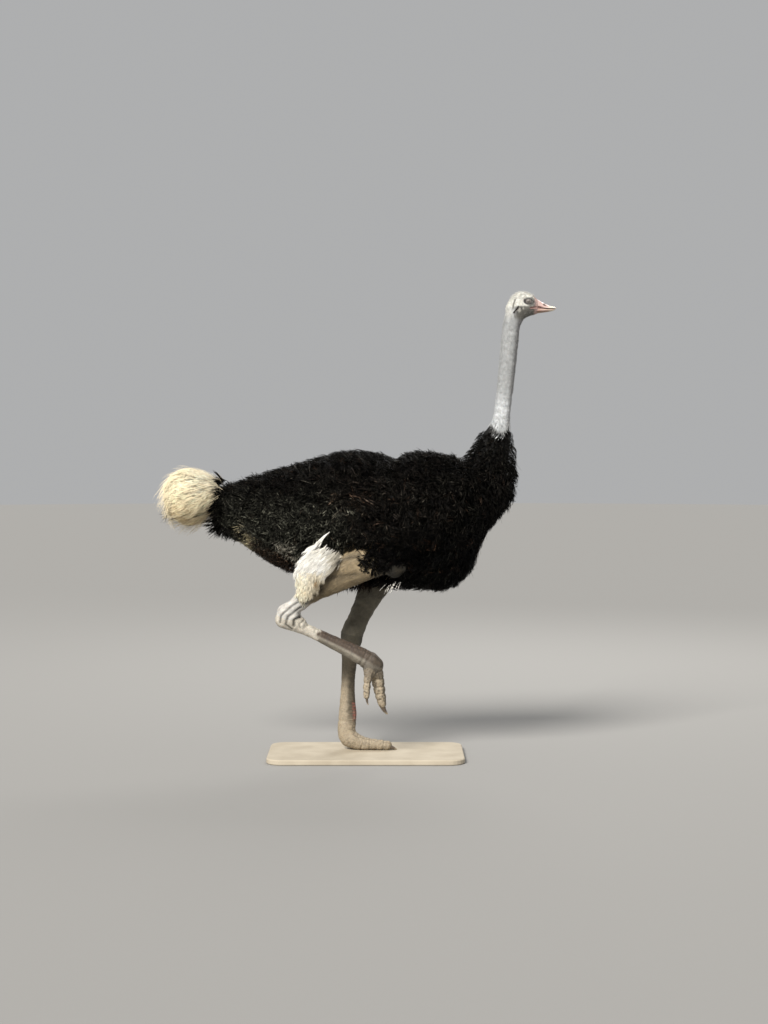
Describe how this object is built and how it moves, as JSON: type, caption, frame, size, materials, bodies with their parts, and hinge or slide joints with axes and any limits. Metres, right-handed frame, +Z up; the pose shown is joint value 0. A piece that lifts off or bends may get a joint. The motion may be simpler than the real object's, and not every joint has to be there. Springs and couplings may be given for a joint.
{
  "type": "life-size male ostrich model",
  "caption": "Still, life-size model of a walking male ostrich with one foot lifted, black woolly plumage, white wing and tail plumes and a bare grey neck, on a flat display base.",
  "frame": {"origin": "centre of the display base's underside", "axes": "+Z up, +X the way the bird faces, +Y the bird's left side"},
  "size_m": [1.8021, 0.5804, 2.1368],
  "materials": {
    "black_plumage": "soft, matt, warm black down and woolly feathers",
    "white_plumage": "soft, cream-white curled plumes",
    "neck_skin": "pale grey skin under short, pale fuzz",
    "leg_skin": "grey-beige scaly skin, matt",
    "thigh_skin": "bare cream-tan skin with folds, matt",
    "bill_horn": "satin pink horn, yellowish at the tip",
    "claw_horn": "satin dark horn",
    "eye": "wet gloss, dark brown",
    "base_board": "pale matt paint over board"
  },
  "bodies": {
    "root": {"stand_base": "base_board", "trunk": "black_plumage", "tail": "white_plumage", "neck_base": "black_plumage", "neck_lower": "neck_skin", "neck_upper": "neck_skin", "head": "neck_skin", "bill_upper": "bill_horn", "bill_lower": "bill_horn", "eye_right": "eye", "eye_left": "eye", "thigh_right": "thigh_skin", "thigh_left": "thigh_skin", "shank_right": "leg_skin", "shank_left": "leg_skin", "toe_inner_right": "leg_skin", "toe_inner_left": "leg_skin", "toe_outer_right": "leg_skin", "toe_outer_left": "leg_skin", "claw_inner_right": "claw_horn", "claw_inner_left": "claw_horn", "claw_outer_right": "claw_horn", "claw_outer_left": "claw_horn", "wing_right": "black_plumage", "wing_left": "black_plumage", "wing_plumes_right": "white_plumage", "wing_plumes_left": "white_plumage"}
  },
  "joints": []
}
